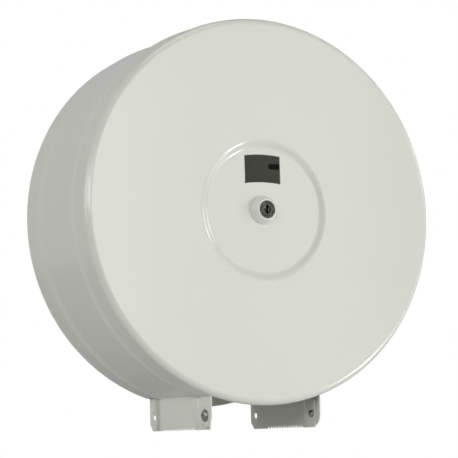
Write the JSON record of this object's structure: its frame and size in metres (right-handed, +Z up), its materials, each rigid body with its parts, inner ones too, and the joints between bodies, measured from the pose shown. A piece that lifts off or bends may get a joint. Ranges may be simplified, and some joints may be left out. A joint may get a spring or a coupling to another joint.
{
  "type": "jumbo roll toilet paper dispenser",
  "caption": "Wall-mounted round sheet-steel dispenser for a jumbo toilet roll, with a hinged locking cover, a sight window and serrated tear edges below.",
  "frame": {"origin": "on the drum's axis in the plane of the washroom wall, at the centre of the pattern of wall screw slots", "axes": "+Z up, -Y out of the wall towards the user, +X to the right of someone who faces the dispenser"},
  "size_m": [0.306, 0.1256, 0.3227],
  "materials": {
    "white_powder_coat": "smooth semi-gloss powder coat",
    "white_plastic": "gloss",
    "zinc_plated_steel": "zinc plated",
    "rivet_steel": "dull",
    "lock_chrome": "worn plating",
    "brass": "stamped",
    "nylon": "natural"
  },
  "bodies": {
    "drum": {"back_pan": "white_powder_coat", "drum_wall": "white_powder_coat", "left_tear_bracket": "white_powder_coat", "right_tear_bracket": "white_powder_coat", "spindle_base": "zinc_plated_steel", "spindle_tube": "white_powder_coat", "spindle_cap": "zinc_plated_steel", "spindle_grub_screws": "zinc_plated_steel", "spindle_rivets": "rivet_steel", "left_hinge_rivet": "rivet_steel", "right_hinge_rivet": "rivet_steel", "hinge_washers": "nylon"},
    "cover": {"cover_shell": "white_powder_coat", "left_hinge_ear": "white_powder_coat", "right_hinge_ear": "white_powder_coat", "lock_escutcheon": "white_plastic", "lock_housing": "lock_chrome", "lock_washer": "zinc_plated_steel", "lock_nut": "zinc_plated_steel"},
    "lock_barrel": {"lock_plug": "lock_chrome", "lock_wafers": "brass", "plug_clip": "rivet_steel", "lock_cam": "zinc_plated_steel", "cam_screw": "zinc_plated_steel"}
  },
  "joints": [
    {"name": "cover_hinge", "type": "hinge", "parent": "drum", "child": "cover", "pos_m": [0, -0.1056, -0.1589], "axis": [1, 0, 0], "range_deg": [0, 180]},
    {"name": "lock_turn", "type": "hinge", "parent": "cover", "child": "lock_barrel", "pos_m": [0, -0.11, 0], "axis": [0, 1, 0], "range_deg": [0, 90]}
  ]
}
